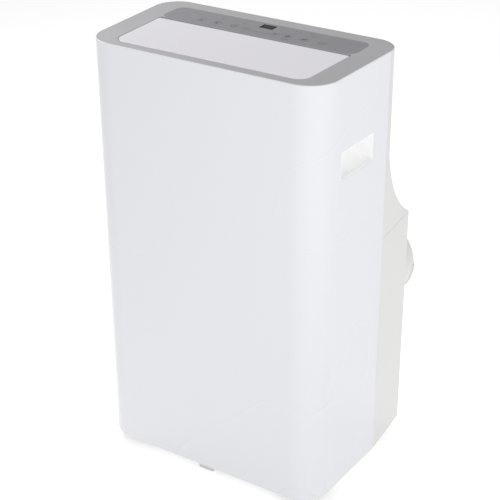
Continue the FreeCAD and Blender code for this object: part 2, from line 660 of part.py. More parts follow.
def vane(i):
    """Guide vane that tilts left and right, with a crank pin for the link bar."""
    x = vane_x(i)
    crank_z = VANE_PIVOT_Z - VANE_CRANK
    blade = block(x - 0.9, x + 0.9, VANE_FRONT, VANE_BACK, crank_z - 7, VANE_PIVOT_Z + 12)
    slot = block(x - 2, x + 2, LINK_Y - 7, LINK_Y + 7, crank_z - 8, crank_z + 7)
    reach = FLAP_GAP + 2
    pivot = rod(2.0, (x, FLAP_FRONT - reach, VANE_PIVOT_Z), (x, FLAP_REAR + reach, VANE_PIVOT_Z))
    crank = rod(1.5, (x, LINK_Y - 8, crank_z), (x, LINK_Y + 8, crank_z))
    return joined([blade.cut(slot), pivot, crank])


def vane_link():
    crank_z = VANE_PIVOT_Z - VANE_CRANK
    end = vane_x(VANE_COUNT - 1) + 8
    bar = block(-end, end, LINK_Y - 3, LINK_Y + 3, crank_z - 4, crank_z + 4)
    holes = []
    for i in range(VANE_COUNT):
        x = vane_x(i)
        holes.append(rod(1.7, (x, LINK_Y - 4, crank_z), (x, LINK_Y + 4, crank_z)))
    return without(bar, holes)


# Fans

def scroll_mouth():
    """(x0, x1, y0, y1) of the upper scroll's outlet, inside its walls."""
    x = UPPER_FAN[0]
    return x + CHANNEL, x + FAN_RADIUS + CUTOFF + GROWTH, UPPER_FAN_Y[0] + WALL, UPPER_FAN_Y[1] - WALL


def scroll_face(inset, overrun):
    """Volute round (0, 0) in XY that discharges towards +Y on its +X side."""
    turn = 1.5 * math.pi
    points = []
    steps = 12
    first = FAN_RADIUS + CUTOFF + WALL - inset
    start_angle = math.acos((CHANNEL - WALL + inset) / first)
    for k in range(steps + 1):
        angle = start_angle + (2 * math.pi - start_angle) * k / steps
        radius = first + GROWTH * k / steps
        points.append(V(radius * math.cos(angle), radius * math.sin(angle), 0))
    curve = Part.BSplineCurve()
    curve.interpolate(points)
    top = SCROLL_TOP + overrun
    near = points[0]
    far = points[-1]
    lines = [Part.LineSegment(far, V(far.x, top, 0)), Part.LineSegment(V(far.x, top, 0), V(near.x, top, 0)),
             Part.LineSegment(V(near.x, top, 0), near)]
    return Part.Face(Part.Wire([curve.toShape()] + [e.toShape() for e in lines]))


def scroll_case(y_range):
    """Scroll housing with its inlet on the +Y side and the motor hole on the -Y side."""
    y0, y1 = y_range
    case = upright(scroll_face(0, 0), y0, y1)
    case = case.cut(upright(scroll_face(WALL, 5), y0 + WALL, y1 - WALL))
    case = case.cut(rod(58, (0, y1 - WALL - 1, 0), (0, y1 + 1, 0)))
    return case.cut(rod(14, (0, y0 - 1, 0), (0, y0 + WALL + 1, 0)))


def upper_scroll():
    case = scroll_case(UPPER_FAN_Y)
    case.translate(V(UPPER_FAN[0], 0, UPPER_FAN[1]))
    return case


def lower_scroll():
    """The condenser fan's scroll discharges sideways into a chamber that opens at the exhaust spigot."""
    case = scroll_case(LOWER_FAN_Y)
    case = case.mirror(V(0, 0, 0), ALONG_X)
    case.rotate(V(0, 0, 0), V(0, 1, 0), 90)
    case.translate(V(LOWER_FAN[0], 0, LOWER_FAN[1]))
    x0 = LOWER_FAN[0] + SCROLL_TOP
    x1 = EXHAUST_X + DUCT_HOLE + WALL
    step = EXHAUST_X - DUCT_HOLE - WALL
    z0 = EXHAUST_Z - DUCT_HOLE - WALL
    z1 = EXHAUST_Z + DUCT_HOLE + WALL

    def chamber(inset):
        near = CHAMBER_FRONT + inset
        low = z0 + inset
        high = z1 - inset
        front = block(x0 + inset, x1 - inset, near, CHAMBER_STEP - inset, low, high)
        back = block(step + inset, x1 - inset, near, REAR_Y - WALL - inset, low, high)
        return joined([front, back])

    door = block(x0 - 1, x0 + WALL + 1, LOWER_FAN_Y[0] + WALL, LOWER_FAN_Y[1] - WALL,
                 LOWER_FAN[1] + CHANNEL, LOWER_FAN[1] + FAN_RADIUS + CUTOFF + GROWTH)
    hole = rod(DUCT_HOLE, (EXHAUST_X, REAR_Y - 10, EXHAUST_Z), (EXHAUST_X, REAR_Y, EXHAUST_Z))
    return joined([case, without(chamber(0), [chamber(WALL), door, hole])])


def impeller(fan, y_range):
    """Squirrel-cage wheel with forward-curved blades, its hub and its shaft."""
    x, z = fan
    y0 = y_range[0] + WALL + 4
    y1 = y_range[1] - WALL - 4

    def at(y):
        return (x, y, z)

    disc = rod(FAN_RADIUS, at(y0), at(y0 + 2))
    rim = tube(FAN_RADIUS, FAN_RADIUS - 12, at(y1 - 2), at(y1))
    hub = rod(14, at(y0), at(y0 + 22))
    shaft = rod(SHAFT_RADIUS, at(y_range[0] - 22), at(y0 + 26))
    blades = []
    count = 32
    inner = FAN_RADIUS - 11
    for k in range(count):
        turn = 360.0 * k / count
        edges = []
        for shift in (0.0, 1.4):
            start = V(inner, shift, 0)
            middle = V(inner + 6.5, shift - 2.6, 0)
            end = V(FAN_RADIUS - 0.2, shift + 1.5, 0)
            edges.append((start, middle, end))
        outline = [Part.Arc(*edges[0]).toShape(), Part.LineSegment(edges[0][2], edges[1][2]).toShape(),
                   Part.Arc(*edges[1]).toShape(), Part.LineSegment(edges[1][0], edges[0][0]).toShape()]
        blade = upright(Part.Face(Part.Wire(Part.__sortEdges__(outline))), y0 + 1, y1 - 1)
        blade.rotate(V(0, 0, 0), V(0, 1, 0), turn)
        blade.translate(V(x, 0, z))
        blades.append(blade)
    return joined([disc, hub, shaft, rim] + blades)


def fan_motor(fan, y_range):
    x, z = fan
    y1 = y_range[0]

    def at(y):
        return (x, y, z)

    can = smooth(rod(MOTOR_RADIUS, at(y1 - 46), at(y1 - 4)), 4.0, lambda e: e.Length > 200)
    plate = rod(MOTOR_RADIUS + 10, at(y1 - 4), at(y1))
    return without(joined([can, plate]), [rod(SHAFT_RADIUS + 0.2, at(y1 - 24), at(y1 + 1))])


# Heat exchangers and refrigerant circuit

def fin_block(x0, x1, y_mid, z0, z1):
    """Plate fins on a thin central web, so that the fin pack is one solid."""
    near = y_mid - COIL_DEPTH / 2
    far = y_mid + COIL_DEPTH / 2
    gaps = []
    x = x0 + 2.0
    while x + FIN_PITCH < x1:
        gaps.append(block(x, x + FIN_PITCH - FIN_THICK, near - 1, y_mid - FIN_WEB / 2, z0 - 1, z1 + 1))
        gaps.append(block(x, x + FIN_PITCH - FIN_THICK, y_mid + FIN_WEB / 2, far + 1, z0 - 1, z1 + 1))
        x += FIN_PITCH
    return block(x0, x1, near, far, z0, z1).cut(Part.makeCompound(gaps))


def coil(x0, x1, y_mid, z0, z1, rows):
    """(fin block, serpentine tube) of a coil whose tubes run along X."""
    fins = fin_block(x0, x1, y_mid, z0, z1)
    pitch = (z1 - z0) / rows
    heights = [z0 + pitch * (k + 0.5) for k in range(rows)]
    left = x0 - COIL_END
    right = x1 + COIL_END
    runs = [rod(TUBE_RADIUS, (left, y_mid, z), (right, y_mid, z)) for z in heights]
    bends = []
    for k in range(rows - 1):
        x = right if k % 2 == 0 else left
        middle = V(x, y_mid, (heights[k] + heights[k + 1]) / 2)
        ring = Part.makeTorus(pitch / 2, TUBE_RADIUS, middle, V(0, 1, 0))
        reach = pitch / 2 + TUBE_RADIUS + 1
        keep_x = (x, x + reach) if k % 2 == 0 else (x - reach, x)
        keep = block(keep_x[0], keep_x[1], y_mid - 10, y_mid + 10, middle.z - reach, middle.z + reach)
        bends.append(ring.common(keep))
    return without(fins, runs), joined(runs + bends)


def foot_place(angle):
    turn = math.radians(angle)
    return COMPRESSOR_AT[0] + FOOT_REACH * math.cos(turn), COMPRESSOR_AT[1] + FOOT_REACH * math.sin(turn)


def compressor():
    x, y = COMPRESSOR_AT
    z0 = COMPRESSOR_BASE
    can = rod(COMPRESSOR_RADIUS, (x, y, z0), (x, y, z0 + COMPRESSOR_TALL))
    can = smooth(can, 22.0, lambda e: e.Length > 300)
    cavity = rod(COMPRESSOR_RADIUS - 9, (x, y, z0 + 9), (x, y, z0 + COMPRESSOR_TALL - 9))
    cavity = smooth(cavity, 14.0, lambda e: e.Length > 250)
    feet = []
    for angle in FOOT_ANGLES:
        fx, fy = foot_place(angle)
        arm = block(-2, FOOT_REACH + 10, -15, 15, z0 - FOOT_THICK, z0)
        arm.rotate(V(0, 0, 0), ALONG_Z, angle)
        arm.translate(V(x, y, 0))
        feet.append(arm.cut(rod(6.0, (fx, fy, z0 - 10), (fx, fy, z0 + 10))))
    body = joined([can.cut(cavity)] + feet)
    bottle = rod(24, (BOTTLE_X, y, z0 + 40), (BOTTLE_X, y, BOTTLE_TOP))
    bottle = smooth(bottle, 12.0, lambda e: e.Length > 120)
    bottle = bottle.cut(rod(20, (BOTTLE_X, y, z0 + 56), (BOTTLE_X, y, BOTTLE_TOP - 16)))
    strap = block(BOTTLE_X + 20, x - COMPRESSOR_RADIUS + 3, y - 8, y + 8, z0 + 110, z0 + 116)
    return joined([body, bottle, strap])


def compressor_grommets():
    z0 = COMPRESSOR_BASE
    mounts = []
    for angle in FOOT_ANGLES:
        fx, fy = foot_place(angle)
        foot = rod(12, (fx, fy, PAN_FLOOR), (fx, fy, z0 - FOOT_THICK))
        neck = rod(6.0, (fx, fy, z0 - FOOT_THICK), (fx, fy, z0))
        cap = rod(9, (fx, fy, z0), (fx, fy, z0 + 5))
        mounts.append(joined([foot, neck, cap]))
    return Part.makeCompound(mounts)


def bent_pipe(points, radius, pipe_radius):
    """Copper pipe along straight runs joined by tangent arcs."""
    edges = []
    start = V(*points[0])
    for i in range(1, len(points) - 1):
        here = V(*points[i])
        back = (V(*points[i - 1]) - here).normalize()
        ahead = (V(*points[i + 1]) - here).normalize()
        half = back.getAngle(ahead) / 2
        reach = radius / math.tan(half)
        inward = (back + ahead).normalize() * (radius / math.sin(half) - radius)
        edges.append(Part.LineSegment(start, here + back * reach).toShape())
        edges.append(Part.Arc(here + back * reach, here + inward, here + ahead * reach).toShape())
        start = here + ahead * reach
    edges.append(Part.LineSegment(start, V(*points[-1])).toShape())
    path = Part.Wire(edges)
    direction = V(*points[1]) - V(*points[0])
    circle = Part.Wire(Part.Circle(V(*points[0]), direction, pipe_radius).toShape())
    return path.makePipeShell([circle], True, True)


def row_heights(coil_spec):
    """Height of the lowest and the highest tube of a coil."""
    half_pitch = (coil_spec[4] - coil_spec[3]) / coil_spec[5] / 2
    return coil_spec[3] + half_pitch, coil_spec[4] - half_pitch


def refrigerant_pipes():
    """Discharge, suction and expansion lines between the compressor and the coils."""
    x, y = COMPRESSOR_AT
    evap_y = EVAPORATOR[2]
    cond_y = CONDENSER[2]
    evap_low, evap_high = row_heights(EVAPORATOR)
    cond_low, cond_high = row_heights(CONDENSER)
    over_z = 420.0
    down_x = 52.0
    cond_end = CONDENSER[1] + COIL_END
    discharge = [(x, y, COMPRESSOR_BASE + COMPRESSOR_TALL), (x, y, over_z), (down_x, y, over_z),
                 (down_x, cond_y - 10, over_z), (cond_end + 14, cond_y, cond_high),
                 (cond_end, cond_y, cond_high)]
    cross_z = 405.0
    rise_x, rise_y = SUCTION_AT
    suction = [(BOTTLE_X, y, BOTTLE_TOP), (BOTTLE_X, y, cross_z), (BOTTLE_X, rise_y, cross_z),
               (rise_x, rise_y, cross_z), (rise_x, rise_y, evap_high), (rise_x, evap_y, evap_high),
               (EVAPORATOR[1] + COIL_END, evap_y, evap_high)]
    drop_x = EXPANSION_AT[0]
    low_z = 64.0
    expansion = [(EVAPORATOR[0] - COIL_END, evap_y, evap_low), (drop_x, evap_y, evap_low),
                 (drop_x, evap_y, low_z), (drop_x, cond_y, low_z), (drop_x, cond_y, cond_low),
                 (CONDENSER[0] - COIL_END, cond_y, cond_low)]
    return Part.makeCompound([bent_pipe(discharge, 6.0, TUBE_RADIUS),
                              bent_pipe(suction, 10.0, SUCTION_RADIUS),
                              bent_pipe(expansion, 5.0, EXPANSION_RADIUS)])


# Base, tray and inner boxes

def drip_tray():
    body = prism(floor_plan(TRAY_INSET), TRAY_BOTTOM, TRAY_RIM)
    body = body.cut(prism(floor_plan(TRAY_INSET + WALL), TRAY_FLOOR, TRAY_RIM + 1))
    x, z = DRAINS["upper_drain_plug"]
    spout = rod(DRAIN_BORE + DRAIN_WALL, (x, REAR_Y - 18, z), (x, REAR_Y, z))
    collars = [rod(r + 3, (cx, cy, TRAY_BOTTOM), (cx, cy, TRAY_RIM)) for cx, cy, r in TRAY_HOLES]
    screws = [screw_boss(sx, REAR_Y, sz) for sx, sz in TRAY_SCREWS]
    body = joined([body, spout] + collars + [boss for boss, pilot in screws])
    cuts = [rod(r, (cx, cy, TRAY_BOTTOM - 1), (cx, cy, TRAY_RIM + 1)) for cx, cy, r in TRAY_HOLES]
    cuts.append(rod(DRAIN_BORE, (x, REAR_Y - 15.5, z), (x, REAR_Y + 1, z)))
    return without(body, cuts + [pilot for boss, pilot in screws])


def base_pan():
    gap = WALL + FIT_GAP
    body = prism(floor_plan(gap), PAN_BOTTOM, PAN_RIM)
    body = body.cut(prism(floor_plan(gap + WALL), PAN_FLOOR, PAN_RIM + 1))
    adds = []
    cuts = []
    for x, y in CASTERS.values():
        adds.append(rod(WELL_RADIUS + 3, (x, y, PAN_BOTTOM), (x, y, WELL_TOP + 3)))
        adds.append(rod(10.0, (x, y, WELL_TOP), (x, y, WELL_TOP + 16)))
        cuts.append(rod(WELL_RADIUS, (x, y, PAN_BOTTOM - 1), (x, y, WELL_TOP)))
        cuts.append(rod(5.2, (x, y, WELL_TOP - 1), (x, y, WELL_TOP + 14.5)))
    # A lug under the front edge keeps the unit from tipping forward
    left = LUG_X - LUG_HALF
    right = LUG_X + LUG_HALF
    lug = [V(left, LUG_Y, PAN_FLOOR), V(left + 3, LUG_Y, LUG_BOTTOM), V(right - 3, LUG_Y, LUG_BOTTOM),
           V(right, LUG_Y, PAN_FLOOR), V(left, LUG_Y, PAN_FLOOR)]
    adds.append(Part.Face(Part.makePolygon(lug)).extrude(V(0, 10, 0)))
    x, z = DRAINS["lower_drain_plug"]
    spout = rod(DRAIN_BORE + DRAIN_WALL, (x, REAR_Y - 16, z), (x, REAR_Y, z))
    adds.append(spout)
    cuts.append(rod(DRAIN_BORE, (x, REAR_Y - 20, z), (x, REAR_Y + 1, z)))
    for px, py in POSTS:
        adds.append(block(px, px + 8, py, py + 14, PAN_FLOOR, TRAY_BOTTOM))
    for sx, sz in PAN_SCREWS:
        boss, pilot = screw_boss(sx, REAR_Y, sz)
        adds.append(boss)
        cuts.append(pilot)
    body = joined([body] + adds)
    envelope = prism(floor_plan(gap), 0.0, TRAY_BOTTOM)
    return without(body.common(joined([envelope, spout])), cuts)


def slinger_wheel():
    x, z = SLINGER_AT

    def at(y):
        return (x, y, z)

    disc = rod(30.0, at(101.0), at(103.0))
    teeth = []
    for k in range(12):
        tooth = block(26, 36, 99.0, 105.0, -1, 1)
        tooth.rotate(V(0, 0, 0), V(0, 1, 0), 30.0 * k)
        tooth.translate(V(x, 0, z))
        teeth.append(tooth)
    hub = rod(8, at(97.0), at(106.0))
    shaft = rod(2.5, at(80.0), at(98.0))
    return joined([disc, hub, shaft] + teeth)


def slinger_motor():
    x, z = SLINGER_AT

    def at(y):
        return (x, y, z)

    can = rod(20, at(52.0), at(92.0))
    foot = block(x - 16, x + 16, 56.0, 88.0, PAN_FLOOR, z - 10)
    return joined([can, foot]).cut(rod(2.7, at(78.0), at(93.0)))


def power_box():
    x0, x1, y0, y1 = -196.0, -112.0, -150.0, -82.0
    box = block(x0, x1, y0, y1, 250.0, TRAY_BOTTOM)
    box = box.cut(block(x0 + 3, x1 - 3, y0 - 1, y1 - 3, 253.0, TRAY_BOTTOM - 3))
    lid = block(x0, x1, y0 - 3, y0, 250.0, TRAY_BOTTOM - 2)
    board = block(x0 + 6, x1 - 6, y1 - 10, y1 - 8, 260.0, TRAY_BOTTOM - 10)
    pegs = []
    for x in (x0 + 12, x1 - 12):
        for z in (270.0, TRAY_BOTTOM - 20):
            pegs.append(rod(3, (x, y1 - 8, z), (x, y1 - 2, z)))
    can = rod(17, (x1 - 30, y0 + 22, 253.0), (x1 - 30, y0 + 22, 330.0))
    return joined([box, lid, board, can] + pegs)


# Filter cassette

def upper_filter_frame():
    y0 = TOP_BACK - FILTER_DEPTH
    y1 = TOP_BACK - 0.2
    frame = block(-FILTER_HALF, FILTER_HALF, y0, y1, FILTER_BOTTOM, FILTER_TOP)
    frame = frame.cut(block(-FILTER_HALF + FILTER_BORDER, FILTER_HALF - FILTER_BORDER, y0 - 1, y1 + 1,
                            FILTER_BOTTOM + FILTER_BORDER, FILTER_TOP - FILTER_BORDER))
    bars = []
    z = FILTER_BOTTOM + 13.0
    while z < FILTER_TOP - 12:
        bars.append(block(-FILTER_HALF + 8, FILTER_HALF - 8, y0 + 1.5, y1 - 0.8, z, z + 3.2))
        z += 8.0
    for x in (-110.0, -55.0, 0.0, 55.0, 110.0):
        bars.append(block(x - 1.5, x + 1.5, y0, y1 - 1.5, FILTER_BOTTOM + 8, FILTER_TOP - 8))
    frame = joined([frame] + bars)
    # Finger notches in the top border
    notches = [block(x - 14, x + 14, y1 - 4, y1 + 1, FILTER_TOP - 7, FILTER_TOP + 1) for x in (-90.0, 90.0)]
    return without(frame, notches)


def upper_filter_mesh():
    y1 = TOP_BACK - FILTER_DEPTH
    return block(-FILTER_HALF + 4, FILTER_HALF - 4, y1 - 0.8, y1, FILTER_BOTTOM + 8, FILTER_TOP - 8)


# Castors

def caster_fork(x, y):
    hood_outer = WHEEL_RADIUS + 3.0
    hood_inner = WHEEL_RADIUS + 1.2
    half = WHEEL_INNER + WHEEL_WIDTH
    axle_y = y + TRAIL

    def across(reach):
        return (x - reach, axle_y, WHEEL_RADIUS), (x + reach, axle_y, WHEEL_RADIUS)

    hood = rod(hood_outer, *across(half)).cut(rod(hood_inner, *across(half + 1)))
    hood = hood.common(block(x - 30, x + 30, axle_y - 40, axle_y + 40, WHEEL_RADIUS + 2, 60))
    web = rod(hood_outer, *across(WHEEL_INNER - 0.5))
    web = web.common(block(x - 30, x + 30, axle_y - 40, axle_y + 40, WHEEL_RADIUS - 9, 60))
    crown = rod(13.0, (x, y, WHEEL_RADIUS + hood_outer - 6), (x, y, WELL_TOP - 1.0))
    crown = crown.cut(rod(hood_inner, *across(half + 20)))
    stem = rod(5.0, (x, y, WELL_TOP - 1.5), (x, y, WELL_TOP + 13.5))
    axle = rod(3.0, *across(half - 1))
    return joined([hood, web, crown, stem, axle])


def caster_wheels(x, y):
    def on_axle(px):
        return (px, y + TRAIL, WHEEL_RADIUS)

    wheels = []
    for side in (-1, 1):
        near = x + side * WHEEL_INNER
        far = x + side * (WHEEL_INNER + WHEEL_WIDTH - 1.5)
        wheel = rod(WHEEL_RADIUS, on_axle(near), on_axle(far))
        wheel = smooth(wheel, 1.5, lambda e: e.Length > 100)
        groove = tube(WHEEL_RADIUS - 5, 7.0, on_axle(far - side * 1.5), on_axle(far + side))
        bore = rod(3.2, on_axle(near - side), on_axle(far + side))
        wheels.append(without(wheel, [groove, bore]))
    return Part.makeCompound(wheels)


def build():
    parts = {
        "front_shell": front_shell(),
        "upper_rear_cover": upper_rear_cover(),
        "lower_rear_cover": lower_rear_cover(),
        "left_handle_cup": handle_cup(-1),
        "right_handle_cup": handle_cup(1),
        "cover_screws": cover_screws(),
        "exhaust_outlet": exhaust_outlet(),
        "cable_gland": cable_gland(),
        "top_frame": top_frame(),
        "control_panel": control_panel(),
        "display_window": display_window(),
        "control_board": control_board(),
        "outlet_flap": outlet_flap(),
        "flap_motor": flap_motor(),
        "outlet_duct": outlet_duct(),
        "vane_link": vane_link(),
        "upper_filter_frame": upper_filter_frame(),
        "upper_filter_mesh": upper_filter_mesh(),
        "upper_scroll": upper_scroll(),
        "upper_impeller": impeller(UPPER_FAN, UPPER_FAN_Y),
        "upper_fan_motor": fan_motor(UPPER_FAN, UPPER_FAN_Y),
        "lower_scroll": lower_scroll(),
        "lower_impeller": impeller(LOWER_FAN, LOWER_FAN_Y),
        "lower_fan_motor": fan_motor(LOWER_FAN, LOWER_FAN_Y),
        "compressor": compressor(),
        "compressor_grommets": compressor_grommets(),
        "refrigerant_pipes": refrigerant_pipes(),
        "drip_tray": drip_tray(),
        "base_pan": base_pan(),
        "slinger_wheel": slinger_wheel(),
        "slinger_motor": slinger_motor(),
        "power_box": power_box(),
    }
    parts["evaporator_fins"], parts["evaporator_tubes"] = coil(*EVAPORATOR)
    parts["condenser_fins"], parts["condenser_tubes"] = coil(*CONDENSER)
    for i in range(VANE_COUNT):
        parts[f"vane_{i + 1}"] = vane(i)
    for name, x in KEYS.items():
        parts[f"key_{name}"] = control_key(x)
    for name, (x, y) in CASTERS.items():
        parts[f"caster_fork_{name}"] = caster_fork(x, y)
        parts[f"caster_wheels_{name}"] = caster_wheels(x, y)
    for name in DRAINS:
        parts[name] = drain_plug(name)
    return parts


def main():
    os.makedirs("parts", exist_ok=True)
    for name, shape in build().items():
        print(name, len(shape.Solids), shape.isValid(), round(shape.Volume))
        shape.exportStep(os.path.join("parts", name + ".step"))


main()
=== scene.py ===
"""Looks of the portable air conditioner: finishes, panel print, filter weave, coil fins, light, camera."""

import json
import math

import bmesh
import bpy
from mathutils import Matrix, Vector


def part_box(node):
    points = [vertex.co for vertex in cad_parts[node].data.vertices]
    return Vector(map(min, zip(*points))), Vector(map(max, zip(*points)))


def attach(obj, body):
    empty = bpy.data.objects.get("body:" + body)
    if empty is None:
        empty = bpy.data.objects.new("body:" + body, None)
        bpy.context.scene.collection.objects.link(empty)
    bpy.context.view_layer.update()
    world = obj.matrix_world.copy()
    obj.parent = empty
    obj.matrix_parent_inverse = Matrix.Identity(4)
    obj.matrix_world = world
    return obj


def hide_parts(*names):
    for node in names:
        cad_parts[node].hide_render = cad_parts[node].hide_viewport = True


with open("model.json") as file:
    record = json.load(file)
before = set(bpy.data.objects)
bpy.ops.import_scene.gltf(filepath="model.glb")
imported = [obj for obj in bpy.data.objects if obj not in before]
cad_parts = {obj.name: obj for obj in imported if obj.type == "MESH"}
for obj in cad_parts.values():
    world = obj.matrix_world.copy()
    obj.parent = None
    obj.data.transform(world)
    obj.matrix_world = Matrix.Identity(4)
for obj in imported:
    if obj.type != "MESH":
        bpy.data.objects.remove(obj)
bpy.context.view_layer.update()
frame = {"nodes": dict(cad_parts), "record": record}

MM = 0.001

WORLD_LIGHT = 0.56
CORNER_POWER = 10.5         # watts
TOP_POWER = 15.5
FLOOR_GLOW = 0.42
FLOOR_REACH = 30.0          # metres from the part, each way

SENSOR = 36.0               # millimetres
FOCAL_LENGTH = 96.08
CAMERA_AT = (1.0965, -1.7416, 1.4495)
CAMERA_YAW = 32.737         # degrees
CAMERA_PITCH = 27.718       # below level
CAMERA_ROLL = -0.254
CAMERA_SHIFT = (0.0002, 0.001)

# Panel print, in millimetres unless it says otherwise
PRINT_THICK = 0.04
MARK_SCALE = 1.75
LENS_RADIUS = 1.1
LENS_ROOT = 0.2             # how far the ball goes on below its middle, as a share of the radius
LENS_HEIGHT = 0.15          # how tall the flattened dome is, as a share of the radius
LAMPS = [("sleep", -5.0, 21.0), ("timer", 7.0, 18.5), ("fan", 0.0, 29.0),
         ("mode", -3.0, 29.0), ("mode", 5.5, 17.5)]     # a key, and the way from it to the lamp
LABEL_BARS = [(-3.2, -1.0), (-0.4, 1.2), (1.8, 3.4)]
LABEL_HEIGHT = 0.9
LABEL_STEP = 5.0            # from the lamp to its label
SPEED_BARS = 4
SPEED_PITCH = 3.2
SEGMENT_THICK = 0.02
DIGIT_TALL = 4.6            # half of a digit's height
DIGIT_WIDE = 4.4
DIGIT_LEAN = 0.1
SEGMENT_WIDTH = 0.8
SEGMENT_GAP = 0.5

# Filter weave and coil fins, in metres
NET_PITCH = 0.0030
THREAD_RADIUS = 0.00032
THREAD_SIDES = 4
NET_WAVE = 0.9              # how far a thread swings to each side, as a share of its radius
FIN_PITCH = 0.0020
FOIL_THICK = 0.00012
END_PLATE_THICK = 0.0006
FIN_INSET = 0.0004
RIPPLES = 8
RIPPLE = 0.00035


# Finishes. Each one is a Principled shader whose colour, gloss and relief vary over the part's own
# coordinates.

MIX_SHARE, MIX_FROM, MIX_TO = 0, 6, 7       # the colour sockets of a Mix node
MIX_RESULT = 2


class Finish:
    def __init__(self, name, colour, roughness, metallic=0.0, specular=0.5, coat=0.0):
        self.material = bpy.data.materials.new(name)
        self.material.use_nodes = True
        self.tree = self.material.node_tree
        self.shader = self.tree.nodes["Principled BSDF"]
        self.colour = colour
        self.set("Base Color", (*colour, 1.0))
        self.set("Roughness", roughness)
        self.set("Metallic", metallic)
        self.set("Specular IOR Level", specular)
        self.set("Coat Weight", coat)
        self.set("Coat Roughness", 0.08)
        self.place = self.tree.nodes.new("ShaderNodeTexCoord").outputs["Object"]
        self.relief_end = None

    def set(self, socket, value):
        self.shader.inputs[socket].default_value = value

    def node(self, kind, links=(), **settings):
        """A new node. links are (socket, output) pairs, and settings are its properties."""
        made = self.tree.nodes.new(kind)
        for name, value in settings.items():
            setattr(made, name, value)
        for socket, output in links:
            self.tree.links.new(made.inputs[socket], output)
        return made

    def stretched(self, x, y, z):
        made = self.node("ShaderNodeMapping", [("Vector", self.place)])
        made.inputs["Scale"].default_value = (x, y, z)
        return made.outputs["Vector"]

    def noise(self, size, detail=2.0, place=None):
        """Cloudy values between about 0.3 and 0.7, with features of that size in metres."""
        made = self.node("ShaderNodeTexNoise", [("Vector", place or self.place)])
        made.inputs["Scale"].default_value = 1.0 / size
        made.inputs["Detail"].default_value = detail
        return made.outputs["Fac"]

    def cells(self, size, feature="F1", place=None):
        made = self.node("ShaderNodeTexVoronoi", [("Vector", place or self.place)], feature=feature)
        made.inputs["Scale"].default_value = 1.0 / size
        return made.outputs["Distance"]

    def spread(self, value, low, high, from_low=0.3, from_high=0.7):
        """The value, moved from its own range to low and high."""
        made = self.node("ShaderNodeMapRange", [("Value", value)], interpolation_type="SMOOTHSTEP")
        limits = {"From Min": from_low, "From Max": from_high, "To Min": low, "To Max": high}
        for socket, number in limits.items():
            made.inputs[socket].default_value = number
        return made.outputs["Result"]

    def tint(self, value, other, low=0.3, high=0.7):
        """The base colour goes over to other as value rises."""
        made = self.node("ShaderNodeMix", data_type="RGBA")
        share = self.spread(value, 0.0, 1.0, low, high)
        self.tree.links.new(made.inputs[MIX_SHARE], share)
        base = self.shader.inputs["Base Color"]
        if base.is_linked:
            self.tree.links.new(made.inputs[MIX_FROM], base.links[0].from_socket)
        else:
            made.inputs[MIX_FROM].default_value = (*self.colour, 1.0)
        made.inputs[MIX_TO].default_value = (*other, 1.0)
        self.tree.links.new(base, made.outputs[MIX_RESULT])

    def shade(self, value, amount):
        """Lightens and darkens the colour by that share."""
        self.tint(value, [c * (1.0 - amount) for c in self.colour])

    def gloss(self, value, low, high):
        self.tree.links.new(self.shader.inputs["Roughness"], self.spread(value, low, high))

    def relief(self, value, height):
        """Adds fine relief of that height in metres."""
        bump = self.node("ShaderNodeBump", [("Height", value)])
        bump.inputs["Distance"].default_value = height
        if self.relief_end:
            self.tree.links.new(bump.inputs["Normal"], self.relief_end)
        self.relief_end = bump.outputs["Normal"]
        self.tree.links.new(self.shader.inputs["Normal"], self.relief_end)


def glossy_moulding(name, colour, roughness=0.24):
    """Polished mould: gloss and colour that drift slowly over the panel, under a trace of orange peel."""
    finish = Finish(name, colour, roughness, coat=0.15)
    finish.gloss(finish.noise(0.25, 0.0), roughness - 0.03, roughness + 0.03)
    finish.shade(finish.noise(0.4, 0.0), 0.01)
    finish.relief(finish.noise(0.0015, 0.0), 0.0000006)
    return finish


def satin_moulding(name, colour, roughness=0.5, grain=0.0007):
    """Spark-eroded mould: a fine even grain with a soft shine."""
    finish = Finish(name, colour, roughness)
    finish.gloss(finish.noise(0.03), roughness - 0.06, roughness + 0.07)
    finish.shade(finish.noise(0.05, 4.0), 0.03)
    finish.relief(finish.noise(grain, 3.0), 0.00003)
    return finish


def shell_white(name):
    return glossy_moulding(name, (0.79, 0.795, 0.83), 0.26)


# A warmer, greyer copy of the shell white: partly the rear covers' own tone, partly painted shade that
# stands in for the warm bounce light on the rear of the sides.
def cover_white(name):
    return glossy_moulding(name, (0.73, 0.725, 0.72), 0.34)


def collar_white(name):
    return satin_moulding(name, (0.76, 0.76, 0.755), 0.42)


def grip_painted_light_white(name):
    """Painted light: a brighter white than the shell that lifts the shade falling in the hand-grip
    pockets, with a slightly softer gloss.
    """
    return satin_moulding(name, (0.985, 0.985, 0.99), 0.42)


def flap_white(name):
    return glossy_moulding(name, (0.775, 0.76, 0.81), 0.2)


def frame_grey(name):
    return satin_moulding(name, (0.385, 0.378, 0.396), 0.42)


def panel_grey(name):
    """Printed film with a silk grain."""
    finish = satin_moulding(name, (0.248, 0.244, 0.262), 0.45, 0.0005)
    finish.set("Specular IOR Level", 0.25)
    return finish


def display_black(name):
    finish = Finish(name, (0.010, 0.008, 0.010), 0.2, specular=0.04)
    finish.gloss(finish.noise(0.01), 0.15, 0.25)
    finish.shade(finish.noise(0.006), 0.3)
    return finish


def duct_black(name):
    return satin_moulding(name, (0.030, 0.030, 0.032), 0.5)


def scroll_white(name):
    """Expanded polystyrene: beads pressed flat against each other."""
    finish = Finish(name, (0.74, 0.74, 0.73), 0.8, specular=0.3)
    finish.relief(finish.cells(0.0042), 0.0005)
    finish.shade(finish.cells(0.0042), 0.06)
    return finish


def fan_grey(name):
    return satin_moulding(name, (0.085, 0.09, 0.1), 0.45)


def zinc_plate(name, colour=(0.62, 0.63, 0.65), roughness=0.34):
    """Bright zinc with its faint crystal flowers."""
    finish = Finish(name, colour, roughness, metallic=1.0)
    finish.gloss(finish.cells(0.006), roughness - 0.06, roughness + 0.1)
    finish.tint(finish.noise(0.018, 3.0), (0.56, 0.55, 0.50), 0.45, 0.7)
    finish.relief(finish.noise(0.0012, 3.0), 0.00003)
    return finish


